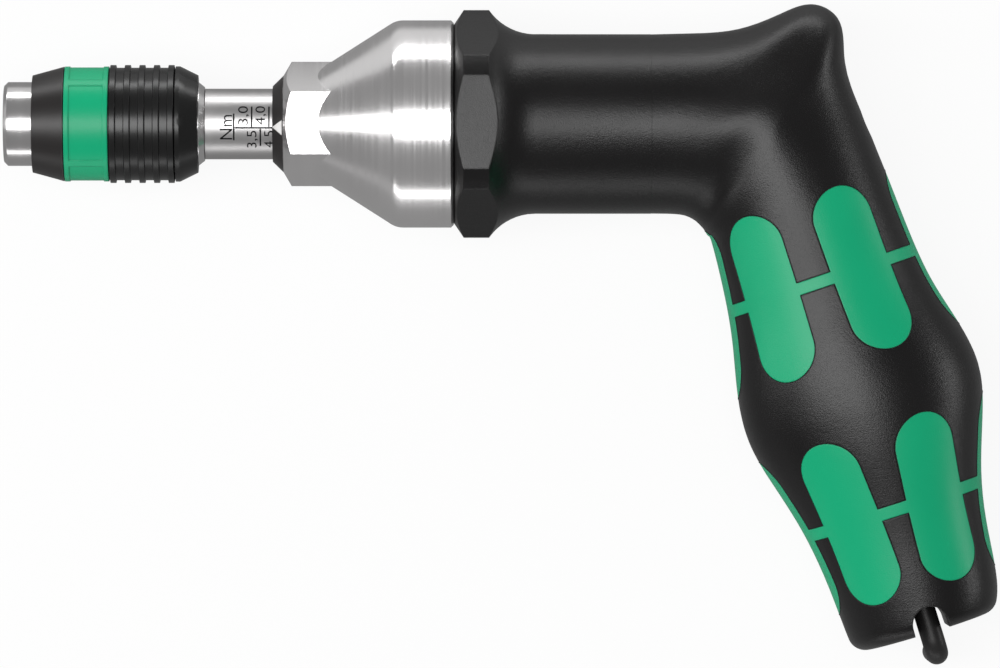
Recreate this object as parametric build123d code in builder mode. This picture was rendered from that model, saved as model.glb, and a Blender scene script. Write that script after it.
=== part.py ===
from build123d import *

import math
import os

# Pistol-grip torque screwdriver with an adjustable slip clutch, in millimetres.
# It lies on its side: +X runs along the spindle from the mouth of the bit socket towards the handle,
# +Y points away from the grip and +Z up. The origin is the centre of the bit socket's mouth.

# Clearances
run_gap = 0.08
end_gap = 0.12
free_gap = 0.3

# Bit socket and chuck
socket_af = 6.4
socket_depth = 16.0
nose_d = 10.9
nose_show = 3.7
nose_chamfer = 0.5
neck_d = 9.3
ball_land = 9.6
lock_ball_d = 2.2
lock_ball_x = 6.6
lock_ball_reach = 0.42
socket_mouth_r = 3.9
magnet_length = 3.5
magnet_d = 6.0

sleeve_d = 12.7
cap_length = 4.1
cap_front_d = 12.65
cap_back_d = 14.9
cap_lip = 0.5
ring_length = 5.7
ring_d = 14.95
ring_panel_count = 4
ring_panel_angle = 82.0
ring_panel_sink = 0.12
ring_panel_border = 0.65
neck_wall = 0.55
rib_count = 5
rib_pitch = 1.89
rib_width = 0.88
rib_slope = 0.08
rib_d = 15.34
groove_d = 14.64
flange_land = 0.55
flange_taper = 2.35
flange_d = 15.0
flange_end_d = 12.68
release_travel = 2.6
sleeve_wire = 0.6
sleeve_coils = 3.5
sleeve_spring_length = 5.95
recess_lead = 0.3
recess_depth = 0.42
stop_ring_d = 10.86
stop_ring_end_d = 9.6
stop_ring_length = 0.8

# Scale tube and its bearings
tube_d = 9.18
tube_bore_d = 7.5
tube_length = 25.86
shaft_d = 6.4
bush_length = 6.0
clip_thickness = 0.8
clip_d = 8.8
clip_groove_d = 5.4
clip_mouth = 4.2

# Torque setting
scale_low = 3.0
scale_now = 4.17
scale_high = 6.0
scale_step = 2.236

# Pointer ring and cone housing
pointer_x = 34.9
pointer_length = 1.4
pointer_front_d = 9.87
pointer_back_d = 12.6
pointer_spigot_d = 11.0
pointer_spigot_length = 1.5
hex_af = 14.0
hex_corner_d = 16.16
hex_nut_chamfer = 1.04
hex_length = 4.5
hex_overlap = 2.2
cone_angle = 32.5
housing_d = 26.94
housing_blend = 3.0
housing_end_x = 58.4
housing_edge = 0.35
shoulder_x = 47.0

# Core sleeve, torque spring and clutch
core_wall = 1.4
core_start_x = 51.5
seat_thickness = 1.0
spring_wire = 2.3
spring_mean_d = 13.8
spring_side_gap = 0.55
spring_pilot_gap = 0.25
spring_coils = 4.5
spring_length = 17.0
cam_side_gap = 0.3
cam_thickness = 4.0
cam_pilot_length = 1.5
cam_gap = 1.4
clutch_roller_d = 2.4
clutch_roller_count = 6
clutch_detents = 12
roller_in_r = 4.3
roller_rim = 1.0
pocket_gap = 0.05
driven_thickness = 3.8
drive_hex_af = 5.2
key_count = 3
key_width = 2.6
key_rise = 0.65

# Thrust bearing, setting nut and adjusting screw
race_thickness = 1.0
race_step = 0.3
pilot_d = 5.0
pilot_short = 0.4
cage_thickness = 1.2
cage_bore_d = 6.4
cage_step = 0.2
race_gap = 0.02
thrust_roller_d = 1.96
thrust_roller_count = 10
nut_length = 11.0
thread_d = 6.8
thread_gap = 0.06
collar_side_gap = 1.6
screw_collar_length = 2.0
plug_length = 3.0
journal_d = 8.0
drive_af = 2.55
drive_depth = 5.0

# Guide key of the scale tube
guide_width = 1.5
guide_length = 3.9
guide_low = 5.5
guide_top = 4.0

# Handle
ring_flat_rise = 0.03
ring_corner_rise = 1.33
ring_front_step = 0.6
ring_front_length = 1.3
ring_land_end_x = 63.0
barrel_d = 23.34
barrel_start_x = 69.0
barrel_end_x = 84.0
setting_bore_d = 3.8
setting_bore_reach = 33.2
insert_depth = 1.6
base_round = 2.2

# Grip sections from behind the barrel to the base: inner edge point, outer edge point, half thickness
# and how far the sides are drawn in below the thumb hump. Their X, and that of what sits in the grip,
# is counted from the end of the barrel. The form starts inside the barrel, on a few round sections
# a hair thinner than it, so that it leaves the barrel straight.
grip_sections = [
    (3.2, -11.72, 4.4, 11.76, 11.67, 0.0),
    (4.9, -12.08, 11.4, 12.35, 11.7, 0.04),
    (5.6, -12.45, 17.0, 14.4, 11.8, 0.11),
    (6.15, -12.88, 21.2, 15.55, 11.9, 0.17),
    (6.6, -13.35, 24.2, 13.9, 12.0, 0.16),
    (7.0, -13.85, 25.2, 8.6, 12.1, 0.09),
    (7.45, -14.55, 27.4, 1.5, 12.2, 0.03),
    (8.0, -15.65, 31.15, -7.75, 12.4, 0.0),
    (9.63, -22.44, 33.77, -14.37, 12.6, 0.0),
    (10.67, -28.85, 36.51, -20.2, 12.9, 0.0),
    (11.32, -35.38, 40.01, -25.78, 13.4, 0.0),
    (12.88, -41.6, 42.7, -31.62, 13.5, 0.0),
    (16.14, -47.26, 43.12, -38.23, 12.9, 0.0),
    (19.64, -52.84, 42.97, -45.03, 11.9, 0.0),
    (22.48, -58.64, 43.63, -51.56, 11.1, 0.0),
    (24.6, -64.0, 44.8, -57.7, 10.6, 0.0),
    (26.6, -68.85, 44.6, -63.25, 10.0, 0.0),
]
lead_rows = 4
lead_pitch = 4.0
lead_step = 0.02
section_points = 16
pinch_place_ratio = 0.55
pinch_spread_ratio = 0.3

# Soft zones of the grip
zone_count = 6
zone_width = 8.4
zone_length = 22.1
band_width = 1.65
zone_reach = 22.0
upper_row = (20.9, -20.85)
lower_row = (31.1, -50.1)
upper_lean = 18.8
lower_lean = 17.8

# Stored setting key
key_lean = 17.1
key_base = (36.34, -65.82)
notch_width = 4.65
notch_straight = 1.08
notch_reach = 16.0
key_d = 3.0
key_bore_d = 3.2
key_tip_af = 2.5
key_tip_length = 5.0
key_inside = 40.0
key_stand_out = 4.65
key_bend = 2.0
key_arm_z = 11.0
key_chamfer = 0.4
key_home = 4.7
key_magnet_length = 3.0
retainer_s = 8.0
retainer_bore_d = 3.06
retainer_d = 4.8
retainer_length = 1.0

# Radii
nose_r = nose_d / 2
neck_r = neck_d / 2
nose_bore_r = nose_r + run_gap
neck_bore_r = neck_r + run_gap
lock_ball_r = lock_ball_d / 2
magnet_r = magnet_d / 2
sleeve_r = sleeve_d / 2
cap_front_r = cap_front_d / 2
cap_back_r = cap_back_d / 2
flange_r = flange_d / 2
flange_end_r = flange_end_d / 2
stop_r = stop_ring_d / 2
stop_end_r = stop_ring_end_d / 2
spin_bore_r = sleeve_r + run_gap
spin_neck_r = spin_bore_r + neck_wall
groove_r = groove_d / 2
rib_r = rib_d / 2
ring_r = ring_d / 2
tube_r = tube_d / 2
tube_bore_r = tube_bore_d / 2
shaft_r = shaft_d / 2
clip_r = clip_d / 2
clip_groove_r = clip_groove_d / 2
housing_bore_r = tube_r + run_gap
pointer_front_r = pointer_front_d / 2
pointer_back_r = pointer_back_d / 2
pointer_spigot_r = pointer_spigot_d / 2
hex_corner_r = hex_corner_d / 2
housing_r = housing_d / 2
seat_bore_r = tube_r + free_gap
spring_mean_r = spring_mean_d / 2
core_bore_r = spring_mean_r + spring_wire / 2 + spring_side_gap
core_r = core_bore_r + core_wall
cam_r = core_bore_r - cam_side_gap
cam_bore_r = shaft_r + run_gap
cam_pilot_r = spring_mean_r - spring_wire / 2 - spring_pilot_gap
roller_out_r = cam_r - roller_rim
key_root_r = core_bore_r + key_rise
key_r = key_root_r - run_gap
clutch_roller_r = clutch_roller_d / 2
pilot_r = pilot_d / 2
race_r = cam_r - race_step
thrust_roller_r = thrust_roller_d / 2
cage_bore_r = cage_bore_d / 2
cage_r = race_r - cage_step
thread_r = thread_d / 2
collar_r = core_bore_r - collar_side_gap
journal_r = journal_d / 2
barrel_r = barrel_d / 2
ring_front_r = housing_r - ring_front_step
ring_turned_r = housing_r + ring_corner_rise
ring_flat_r = housing_r + ring_flat_rise
key_bore_r = key_bore_d / 2

# Places along the spindle
lowest_setting = (scale_now - scale_low) * scale_step
highest_setting = (scale_high - scale_now) * scale_step
lock_ball_y = socket_af / 2 / math.cos(math.pi / 6) - lock_ball_reach + lock_ball_r
magnet_end_x = socket_depth + magnet_length
sleeve_front_x = nose_show + cap_lip
recess_x = lock_ball_x + lock_ball_r + recess_lead
recess_end_x = recess_x + release_travel + recess_lead
sleeve_shoulder_x = ball_land + sleeve_spring_length
cap_end_x = nose_show + cap_length
spin_start_x = cap_end_x + end_gap
ribs_start_x = spin_start_x + ring_length + end_gap
spin_end_x = ribs_start_x + rib_pitch * (rib_count - 1) + rib_width
flange_x = spin_end_x + end_gap
sleeve_end_x = flange_x + flange_land + flange_taper
stop_x = sleeve_end_x + end_gap / 2
stop_end_x = stop_x + stop_ring_length
tube_x = stop_end_x + end_gap / 2
tube_end_x = tube_x + tube_length
clip_x = tube_end_x + end_gap
slot_x = shoulder_x - guide_length - lowest_setting - free_gap
slot_end_x = shoulder_x + highest_setting + free_gap
guide_top_depth = tube_r - (guide_top - free_gap)
pointer_end_x = pointer_x + pointer_length
cone_x = pointer_end_x + hex_length
cone_end_x = cone_x + (housing_r - hex_af / 2) / math.tan(math.radians(cone_angle))
seat_end_x = shoulder_x + seat_thickness
spring_end_x = seat_end_x + spring_length
groove_x = spring_end_x - highest_setting - free_gap
cam_end_x = spring_end_x + cam_thickness
driven_x = cam_end_x + cam_gap
clutch_x = cam_end_x + cam_gap / 2
driven_end_x = driven_x + driven_thickness
race_end_x = driven_end_x + race_thickness
thrust_x = race_end_x + race_gap + thrust_roller_r
rear_race_x = thrust_x + thrust_roller_r + race_gap
nut_x = rear_race_x + race_thickness
pilot_end_x = nut_x - pilot_short
nut_end_x = nut_x + nut_length
stud_x = nut_x + lowest_setting + free_gap
collar_x = nut_end_x + lowest_setting + free_gap
collar_end_x = collar_x + screw_collar_length
plug_x = collar_end_x + end_gap / 2
core_end_x = plug_x + plug_length
key_magnet_s = key_inside + key_home + free_gap

# Directions of the stored key: down the grip, and across it towards the back
lean = math.radians(key_lean)
grip_down = Vector(math.sin(lean), -math.cos(lean), 0)
grip_across = Vector(math.cos(lean), math.sin(lean), 0)
base_point = Vector(barrel_end_x + key_base[0], key_base[1], 0)


def turn(points, mode=Mode.ADD):
    """Turns closed (x, radius) corners about the spindle axis."""
    with BuildSketch(Plane.XY) as profile:
        with BuildLine():
            Polyline(*points, close=True)
        make_face()
    revolve(profile.sketch, axis=Axis.X, mode=mode)


def turn_ring(start_x, end_x, bore_r, outer_r, mode=Mode.ADD):
    """A plain ring, or a plain bore where it is cut, on the spindle axis."""
    turn([(start_x, bore_r), (end_x, bore_r), (end_x, outer_r), (start_x, outer_r)], mode)


def hexagon(start_x, end_x, across_flats, mode=Mode.ADD):
    """A hexagonal prism on the spindle axis, with corners at +Y and -Y."""
    with BuildSketch(Plane.YZ.offset(start_x)) as outline:
        RegularPolygon(across_flats / 2, 6, major_radius=False)
    extrude(outline.sketch, amount=end_x - start_x, mode=mode)


def coil(start_x, end_x, mean_r, wire, turns):
    """A compression spring of square wire that lies between two faces."""
    rise = end_x - start_x - wire
    centre = Vector(start_x + wire / 2, 0, 0)
    with BuildLine() as path:
        Helix(rise / turns, rise, mean_r, centre, (1, 0, 0))
    begin = path.line @ 0
    with BuildSketch(Plane(begin, x_dir=begin - centre, z_dir=path.line % 0)) as section:
        Rectangle(wire, wire)
    sweep(section.sketch, path=path.line, is_frenet=True)


def slide_keys(start_x, end_x, ring_r, key_r, width, mode=Mode.ADD):
    """Keys round a ring, or their grooves where they are cut."""
    with BuildSketch(Plane.YZ.offset(start_x)) as outline:
        with PolarLocations((ring_r + key_r) / 2, key_count):
            Rectangle(key_r - ring_r, width)
    extrude(outline.sketch, amount=end_x - start_x, mode=mode)


def roller_ring(centre_x, roller_r, count, gap=0.0, mode=Mode.ADD):
    """Rollers that point outwards round the spindle axis, or their grooves where they are cut."""
    for index in range(count):
        turned = Location((centre_x, 0, 0), (360 * index / count, 0, 0))
        with Locations(turned * Location((0, 0, (roller_in_r + roller_out_r) / 2))):
            Cylinder(roller_r + gap, roller_out_r - roller_in_r + 2 * gap, mode=mode)


os.makedirs("parts", exist_ok=True)

# Spindle with its bit socket, in one piece from the nose to the pilot in the thrust bearing
with BuildPart() as spindle:
    turn(
        [
            (0, 0),
            (0, nose_r - nose_chamfer),
            (nose_chamfer, nose_r),
            (ball_land, nose_r),
            (ball_land, neck_r),
            (stop_end_x, neck_r),
            (stop_end_x, shaft_r),
            (clip_x, shaft_r),
            (clip_x, clip_groove_r),
            (clip_x + clip_thickness, clip_groove_r),
            (clip_x + clip_thickness, shaft_r),
            (driven_x, shaft_r),
            (driven_x, pilot_r),
            (pilot_end_x, pilot_r),
            (pilot_end_x, 0),
        ]
    )
    hexagon(driven_x, driven_end_x, drive_hex_af)
    hexagon(0, socket_depth, socket_af, Mode.SUBTRACT)
    turn([(0, 0), (0, socket_mouth_r), (socket_mouth_r, 0)], Mode.SUBTRACT)
    turn_ring(socket_depth, magnet_end_x, 0, magnet_r, Mode.SUBTRACT)
    with BuildSketch(Plane.XZ) as ball_hole:
        with Locations((lock_ball_x, 0)):
            Circle(lock_ball_r + pocket_gap)
    extrude(ball_hole.sketch, amount=nose_r, both=True, mode=Mode.SUBTRACT)
spindle.part.label = "spindle"
export_step(spindle.part, "parts/spindle.step")

with BuildPart() as bit_magnet:
    turn_ring(socket_depth, magnet_end_x, 0, magnet_r)
bit_magnet.part.label = "bit_magnet"
export_step(bit_magnet.part, "parts/bit_magnet.step")

with BuildPart() as lock_balls:
    with Locations((lock_ball_x, lock_ball_y, 0), (lock_ball_x, -lock_ball_y, 0)):
        Sphere(lock_ball_r)
lock_balls.part.label = "lock_balls"
export_step(lock_balls.part, "parts/lock_balls.step")

with BuildPart() as stop_ring:
    turn([(stop_x, neck_r), (stop_end_x, neck_r), (stop_end_x, stop_end_r), (stop_x, stop_r)])
stop_ring.part.label = "stop_ring"
export_step(stop_ring.part, "parts/stop_ring.step")

# Locking sleeve: its bore holds the balls in, and its recess lets them out when it is pushed forward
with BuildPart() as locking_sleeve:
    turn(
        [
            (sleeve_front_x, nose_bore_r),
            (recess_x, nose_bore_r),
            (recess_x + recess_depth, nose_bore_r + recess_depth),
            (recess_end_x - recess_depth, nose_bore_r + recess_depth),
            (recess_end_x, nose_bore_r),
            (sleeve_shoulder_x, nose_bore_r),
            (sleeve_shoulder_x, neck_bore_r),
            (sleeve_end_x, neck_bore_r),
            (sleeve_end_x, flange_end_r),
            (flange_x + flange_land, flange_r),
            (flange_x, flange_r),
            (flange_x, sleeve_r),
            (sleeve_front_x, sleeve_r),
        ]
    )
locking_sleeve.part.label = "locking_sleeve"
export_step(locking_sleeve.part, "parts/locking_sleeve.step")

with BuildPart() as front_cap:
    turn(
        [
            (nose_show, nose_bore_r),
            (sleeve_front_x, nose_bore_r),
            (sleeve_front_x, sleeve_r),
            (cap_end_x, sleeve_r),
            (cap_end_x, cap_back_r),
            (nose_show, cap_front_r),
        ]
    )
front_cap.part.label = "front_cap"
export_step(front_cap.part, "parts/front_cap.step")

with BuildPart() as sleeve_spring:
    coil(ball_land, sleeve_shoulder_x, (neck_r + nose_bore_r) / 2, sleeve_wire, sleeve_coils)
sleeve_spring.part.label = "sleeve_spring"
export_step(sleeve_spring.part, "parts/sleeve_spring.step")

# Ribbed sleeve that spins freely on the locking sleeve, with a neck for the soft grip ring
rib_corners = []
for index in range(rib_count):
    rib_x = ribs_start_x + index * rib_pitch
    rib_corners += [
        (rib_x, groove_r),
        (rib_x + rib_slope, rib_r),
        (rib_x + rib_width - rib_slope, rib_r),
        (rib_x + rib_width, groove_r),
    ]
with BuildPart() as spin_sleeve:
    turn(
        [
            (spin_start_x, spin_bore_r),
            (spin_start_x, spin_neck_r),
            (ribs_start_x, spin_neck_r),
            *rib_corners,
            (spin_end_x, spin_bore_r),
        ]
    )
spin_sleeve.part.label = "spin_sleeve"
export_step(spin_sleeve.part, "parts/spin_sleeve.step")

# Soft ring with a sunk panel in each quarter
with BuildPart() as grip_ring:
    turn_ring(spin_start_x, spin_start_x + ring_length, spin_neck_r, ring_r)
    for index in range(ring_panel_count):
        start = 2 * math.pi * index / ring_panel_count - math.radians(ring_panel_angle) / 2
        turned = Plane(
            origin=(0, 0, 0),
            x_dir=(1, 0, 0),
            z_dir=(0, -math.sin(start), math.cos(start)),
        )
        with BuildSketch(turned) as panel:
            with Locations((spin_start_x + ring_length / 2, ring_r)):
                Rectangle(ring_length - 2 * ring_panel_border, 2 * ring_panel_sink)
        revolve(
            panel.sketch,
            axis=Axis.X,
            revolution_arc=ring_panel_angle,
            mode=Mode.SUBTRACT,
        )
grip_ring.part.label = "grip_ring"
export_step(grip_ring.part, "parts/grip_ring.step")

# Scale tube, kept from turning by the guide key in its slot
with BuildPart() as scale_tube:
    turn_ring(tube_x, tube_end_x, tube_bore_r, tube_r)
    with BuildSketch(Plane.XY.offset(-tube_r)) as slot:
        with Locations(((slot_x + slot_end_x) / 2, 0)):
            Rectangle(slot_end_x - slot_x, guide_width + 2 * run_gap)
    extrude(slot.sketch, amount=tube_r, mode=Mode.SUBTRACT)
scale_tube.part.label = "scale_tube"
export_step(scale_tube.part, "parts/scale_tube.step")

with BuildPart() as tube_bushes:
    turn_ring(tube_x + end_gap, tube_x + end_gap + bush_length, shaft_r + run_gap, tube_bore_r)
    turn_ring(tube_end_x - bush_length, tube_end_x, shaft_r + run_gap, tube_bore_r)
    with BuildSketch(Plane.XY.offset(-tube_r)) as bush_slot:
        with Locations(((slot_x + slot_end_x) / 2, 0)):
            Rectangle(slot_end_x - slot_x, guide_width + 2 * run_gap)
    extrude(bush_slot.sketch, amount=guide_top_depth, mode=Mode.SUBTRACT)
tube_bushes.part.label = "tube_bushes"
export_step(tube_bushes.part, "parts/tube_bushes.step")

with BuildPart() as tube_clip:
    turn_ring(clip_x, clip_x + clip_thickness, clip_groove_r, clip_r)
    with BuildSketch(Plane.YZ.offset(clip_x)) as mouth:
        with Locations((0, clip_r)):
            Rectangle(clip_mouth, 2 * clip_r)
    extrude(mouth.sketch, amount=clip_thickness, mode=Mode.SUBTRACT)
tube_clip.part.label = "tube_clip"
export_step(tube_clip.part, "parts/tube_clip.step")

with BuildPart() as pointer_ring:
    turn(
        [
            (pointer_x, housing_bore_r),
            (pointer_end_x + pointer_spigot_length, housing_bore_r),
            (pointer_end_x + pointer_spigot_length, pointer_spigot_r),
            (pointer_end_x, pointer_spigot_r),
            (pointer_end_x, pointer_back_r),
            (pointer_x, pointer_front_r),
        ]
    )
pointer_ring.part.label = "pointer_ring"
export_step(pointer_ring.part, "parts/pointer_ring.step")

# Cone housing: spanner hexagon in front, cone, and a cup for the core sleeve at the back
with BuildPart() as cone_housing:
    hexagon(pointer_end_x, cone_x + hex_overlap, hex_af)
    turn(
        [
            (pointer_end_x, 0),
            (pointer_end_x, pointer_back_r),
            (pointer_end_x + hex_nut_chamfer, hex_corner_r),
            (cone_x + hex_overlap, hex_corner_r),
            (cone_x + hex_overlap, 0),
        ],
        Mode.INTERSECT,
    )
    with BuildSketch(Plane.XY) as cone_profile:
        with BuildLine():
            FilletPolyline(
                (cone_x, hex_af / 2),
                (cone_end_x, housing_r),
                (housing_end_x - housing_edge, housing_r),
                radius=housing_blend,
            )
            Polyline(
                (housing_end_x - housing_edge, housing_r),
                (housing_end_x, housing_r - housing_edge),
                (housing_end_x, 0),
                (cone_x, 0),
                (cone_x, hex_af / 2),
            )
        make_face()
    revolve(cone_profile.sketch, axis=Axis.X)
    turn(
        [
            (pointer_end_x, 0),
            (pointer_end_x, pointer_spigot_r),
            (pointer_end_x + pointer_spigot_length, pointer_spigot_r),
            (pointer_end_x + pointer_spigot_length, housing_bore_r),
            (shoulder_x, housing_bore_r),
            (shoulder_x, core_bore_r),
            (core_start_x, core_bore_r),
            (core_start_x, core_r),
            (housing_end_x, core_r),
            (housing_end_x, 0),
        ],
        Mode.SUBTRACT,
    )
    with BuildSketch(Plane.YZ.offset(shoulder_x)) as key_seat:
        with Locations((0, -guide_low / 2)):
            Rectangle(guide_width, guide_low)
    extrude(key_seat.sketch, amount=-guide_length, mode=Mode.SUBTRACT)
cone_housing.part.label = "cone_housing"
export_step(cone_housing.part, "parts/cone_housing.step")

with BuildPart() as guide_key:
    with BuildSketch(Plane.YZ.offset(shoulder_x)) as key_face:
        with Locations((0, -(guide_low + guide_top) / 2)):
            Rectangle(guide_width, guide_low - guide_top)
    extrude(key_face.sketch, amount=-guide_length)
guide_key.part.label = "guide_key"
export_step(guide_key.part, "parts/guide_key.step")

with BuildPart() as spring_seat:
    turn_ring(shoulder_x, seat_end_x, seat_bore_r, cam_r)
spring_seat.part.label = "spring_seat"
export_step(spring_seat.part, "parts/spring_seat.step")

with BuildPart() as torque_spring:
    coil(seat_end_x, spring_end_x, spring_mean_r, spring_wire, spring_coils)
torque_spring.part.label = "torque_spring"
export_step(torque_spring.part, "parts/torque_spring.step")

# Core sleeve with grooves for the keys of the driving cam and the setting nut
with BuildPart() as core_sleeve:
    turn_ring(core_start_x, core_end_x, core_bore_r, core_r)
    slide_keys(groove_x, core_end_x, cam_r, key_root_r, key_width + 2 * run_gap, Mode.SUBTRACT)
core_sleeve.part.label = "core_sleeve"
export_step(core_sleeve.part, "parts/core_sleeve.step")

with BuildPart() as driving_cam:
    turn_ring(spring_end_x, cam_end_x, cam_bore_r, cam_r)
    turn_ring(spring_end_x - cam_pilot_length, spring_end_x, cam_bore_r, cam_pilot_r)
    slide_keys(spring_end_x, cam_end_x, cam_pilot_r, key_r, key_width)
    roller_ring(clutch_x, clutch_roller_r, clutch_roller_count, pocket_gap, Mode.SUBTRACT)
driving_cam.part.label = "driving_cam"
export_step(driving_cam.part, "parts/driving_cam.step")

with BuildPart() as clutch_rollers:
    roller_ring(clutch_x, clutch_roller_r, clutch_roller_count)
clutch_rollers.part.label = "clutch_rollers"
export_step(clutch_rollers.part, "parts/clutch_rollers.step")

with BuildPart() as driven_cam:
    turn_ring(driven_x, driven_end_x, 0, cam_r)
    hexagon(driven_x, driven_end_x, drive_hex_af, Mode.SUBTRACT)
    roller_ring(clutch_x, clutch_roller_r, clutch_detents, pocket_gap, Mode.SUBTRACT)
driven_cam.part.label = "driven_cam"
export_step(driven_cam.part, "parts/driven_cam.step")

with BuildPart() as front_race:
    turn_ring(driven_end_x, race_end_x, pilot_r, race_r)
front_race.part.label = "front_race"
export_step(front_race.part, "parts/front_race.step")

with BuildPart() as thrust_cage:
    turn_ring(thrust_x - cage_thickness / 2, thrust_x + cage_thickness / 2, cage_bore_r, cage_r)
    roller_ring(thrust_x, thrust_roller_r, thrust_roller_count, pocket_gap, Mode.SUBTRACT)
thrust_cage.part.label = "thrust_cage"
export_step(thrust_cage.part, "parts/thrust_cage.step")

with BuildPart() as thrust_rollers:
    roller_ring(thrust_x, thrust_roller_r, thrust_roller_count)
thrust_rollers.part.label = "thrust_rollers"
export_step(thrust_rollers.part, "parts/thrust_rollers.step")

with BuildPart() as rear_race:
    turn_ring(rear_race_x, nut_x, pilot_r + run_gap, race_r)
rear_race.part.label = "rear_race"
export_step(rear_race.part, "parts/rear_race.step")

with BuildPart() as setting_nut:
    turn_ring(nut_x, nut_end_x, thread_r + thread_gap, cam_r)
    slide_keys(nut_x, nut_end_x, cam_pilot_r, key_r, key_width)
setting_nut.part.label = "setting_nut"
export_step(setting_nut.part, "parts/setting_nut.step")

with BuildPart() as adjusting_screw:
    turn(
        [
            (stud_x, 0),
            (stud_x, thread_r),
            (collar_x, thread_r),
            (collar_x, collar_r),
            (collar_end_x, collar_r),
            (collar_end_x, journal_r),
            (core_end_x, journal_r),
            (core_end_x, 0),
        ]
    )
    hexagon(core_end_x - drive_depth, core_end_x, drive_af, Mode.SUBTRACT)
adjusting_screw.part.label = "adjusting_screw"
export_step(adjusting_screw.part, "parts/adjusting_screw.step")

with BuildPart() as end_plug:
    turn_ring(plug_x, core_end_x, journal_r + run_gap, core_bore_r)
end_plug.part.label = "end_plug"
export_step(end_plug.part, "parts/end_plug.step")


def grip_outline(row, inset):
    """One cross-section of the elbow and grip, between its inner and outer edge points."""
    inner_x, inner_y, outer_x, outer_y, half_thickness, pinch = row
    low = Vector(barrel_end_x + inner_x, inner_y, 0)
    high = Vector(barrel_end_x + outer_x, outer_y, 0)
    across = (high - low).normalized()
    half = (high - low).length / 2 - inset
    plane = Plane(origin=(low + high) / 2, x_dir=across, z_dir=across.cross(Vector(0, 0, 1)))
    shares = [index / section_points for index in range(section_points + 1)]
    points = []
    for turned in shares[:-1]:
        along = math.cos(2 * math.pi * turned)
        draw_in = 1 - pinch * math.exp(-(((along - pinch_place_ratio) / pinch_spread_ratio) ** 2))
        side = (half_thickness - inset) * math.sin(2 * math.pi * turned) * draw_in
        points.append(Vector(half * along, side))
    with BuildSketch(plane) as section:
        with BuildLine():
            add(Edge.make_spline(points, periodic=True, parameters=shares))
        make_face()
    return section.sketch


# Skin of the elbow and grip, and the same form sunk by the depth of the soft inserts
lead_r = barrel_r - lead_step
lead_x = [-lead_pitch * (lead_rows - index) for index in range(lead_rows + 1)]
grip_rows = [(x, -lead_r, x, lead_r, lead_r, 0.0) for x in lead_x] + grip_sections
with BuildPart() as grip_skin:
    loft([grip_outline(row, 0) for row in grip_rows])
    fillet(grip_skin.faces().sort_by(Axis.Y)[0].edges(), base_round)
with BuildPart() as grip_core:
    loft([grip_outline(row, insert_depth) for row in grip_rows])


def soft_row(place, lean):
    """Rounded zones pointing six ways from the grip's middle, and the band that links them."""
    down = Vector(math.sin(math.radians(lean)), -math.cos(math.radians(lean)), 0)
    forward = Vector(math.cos(math.radians(lean)), math.sin(math.radians(lean)), 0)
    middle = (barrel_end_x + place[0], place[1], 0)
    for index in range(zone_count):
        angle = 2 * math.pi * index / zone_count
        out = forward * math.cos(angle) + Vector(0, 0, 1) * math.sin(angle)
        with BuildSketch(Plane(origin=middle, x_dir=down, z_dir=out)) as zone:
            SlotOverall(zone_length, zone_width)
        extrude(zone.sketch, amount=zone_reach)
    with BuildSketch(Plane(origin=middle, x_dir=forward, z_dir=down)) as band:
        Circle(zone_reach)
    extrude(band.sketch, amount=band_width / 2, both=True)


with BuildPart() as upper_zones:
    soft_row(upper_row, upper_lean)
    add(grip_core.part, mode=Mode.SUBTRACT)
with BuildPart() as lower_zones:
    soft_row(lower_row, lower_lean)
    add(grip_core.part, mode=Mode.SUBTRACT)

with BuildPart() as grip_insert_upper:
    add(upper_zones.part)
    add(grip_skin.part, mode=Mode.INTERSECT)
grip_insert_upper.part.label = "grip_insert_upper"
export_step(grip_insert_upper.part, "parts/grip_insert_upper.step")

with BuildPart() as grip_insert_lower:
    add(lower_zones.part)
    add(grip_skin.part, mode=Mode.INTERSECT)
grip_insert_lower.part.label = "grip_insert_lower"
export_step(grip_insert_lower.part, "parts/grip_insert_lower.step")

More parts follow.
